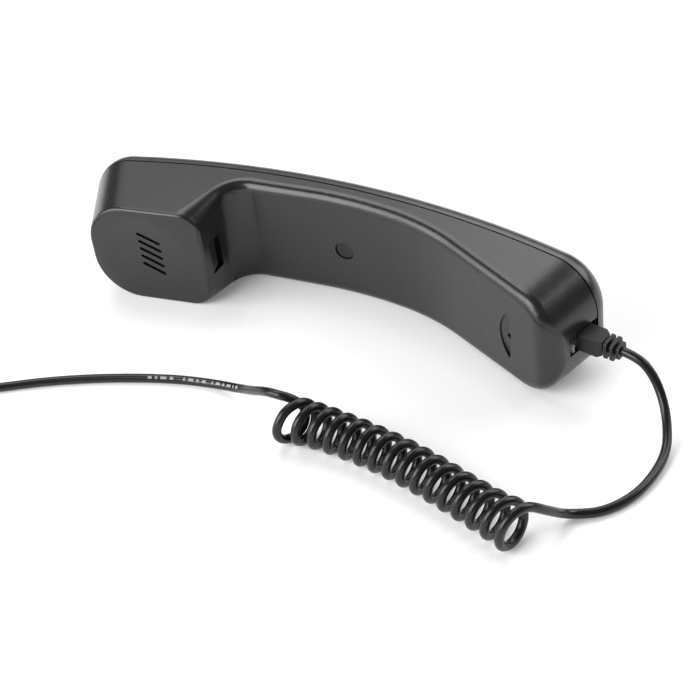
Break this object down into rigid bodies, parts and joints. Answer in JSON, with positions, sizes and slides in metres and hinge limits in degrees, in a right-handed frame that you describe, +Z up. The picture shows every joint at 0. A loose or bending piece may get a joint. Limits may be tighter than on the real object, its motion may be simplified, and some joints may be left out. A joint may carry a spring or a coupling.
{
  "type": "corded telephone handset",
  "caption": "Curved corded telephone handset in two shells, with receiver, microphone and weight inside, a coiled cord and clear modular plugs.",
  "frame": {"origin": "centre of the handset's footprint on the floor that its lower side wall lies on, measured without the cord", "axes": "+X from the ear end towards the mouth end, +Z up out of the side wall, -Y the side that faces the head"},
  "size_m": [0.3163, 0.1414, 0.049],
  "materials": {
    "casing": "black ABS, fine satin grain",
    "cord_jacket": "black soft PVC, semi-gloss",
    "plug_boot": "black moulded PVC, matt",
    "clear_plug": "clear polycarbonate, faintly cloudy",
    "inner_plastic": "plain moulded nylon",
    "contact_gold": "gold-plated spring bronze",
    "steel": "zinc-plated steel",
    "magnet": "bare ferrite",
    "copper": "enamelled copper",
    "board": "dark green glass-epoxy laminate",
    "cloth": "thin black woven dust cloth",
    "foam": "dark closed-cell foam",
    "cone": "thin translucent film",
    "microphone_can": "drawn can",
    "rubber": "soft black rubber",
    "red_wire": "red PVC insulation",
    "black_wire": "black PVC insulation",
    "tie": "black hook-and-loop tape"
  },
  "bodies": {
    "handset": {"back_shell": "casing", "ballast_bar": "steel", "ballast_screws": "steel", "board_screws": "steel", "case_screw": "steel", "circuit_board": "board", "dust_cloth": "cloth", "foam_ring": "foam", "front_shell": "casing", "jack_contacts": "contact_gold", "jack_housing": "inner_plastic", "microphone_boot": "rubber", "microphone_capsule": "microphone_can", "microphone_wire_black": "black_wire", "microphone_wire_red": "red_wire", "receiver_cone": "cone", "receiver_frame": "inner_plastic", "receiver_magnet": "magnet", "receiver_terminals": "board", "receiver_wire_black": "black_wire", "receiver_wire_red": "red_wire", "voice_coil": "copper"},
    "screw_cover": {"screw_cover": "rubber"},
    "cord_set": {"plug_body": "clear_plug", "plug_contacts": "contact_gold", "plug_boot": "plug_boot", "cord_lead": "cord_jacket", "coiled_cord": "cord_jacket", "cord_tail": "cord_jacket", "cord_end": "cord_jacket", "stored_coil": "cord_jacket", "coil_tie": "tie", "far_plug_body": "clear_plug", "far_plug_contacts": "contact_gold", "far_plug_boot": "plug_boot"},
    "plug_latch": {"plug_latch": "clear_plug"},
    "far_plug_latch": {"far_plug_latch": "clear_plug"}
  },
  "joints": [
    {"name": "cover_pull", "type": "slide", "parent": "handset", "child": "screw_cover", "axis": [0, -0.9988, -0.0499], "range_m": [0, 0.008]},
    {"name": "plug_pull", "type": "slide", "parent": "handset", "child": "cord_set", "axis": [0.9848, -0.1734, -0.0087], "range_m": [0, 0.015]},
    {"name": "latch_press", "type": "hinge", "parent": "cord_set", "child": "plug_latch", "pos_m": [0.0917, -0.00962, 0.02323], "axis": [0, -0.0499, 0.9988], "range_deg": [0, 11], "stiffness_Nm_per_rad": 0.02},
    {"name": "far_latch_press", "type": "hinge", "parent": "cord_set", "child": "far_plug_latch", "pos_m": [-0.16505, -0.0414, 0.00405], "axis": [0, 0, 1], "range_deg": [0, 11], "stiffness_Nm_per_rad": 0.02}
  ]
}
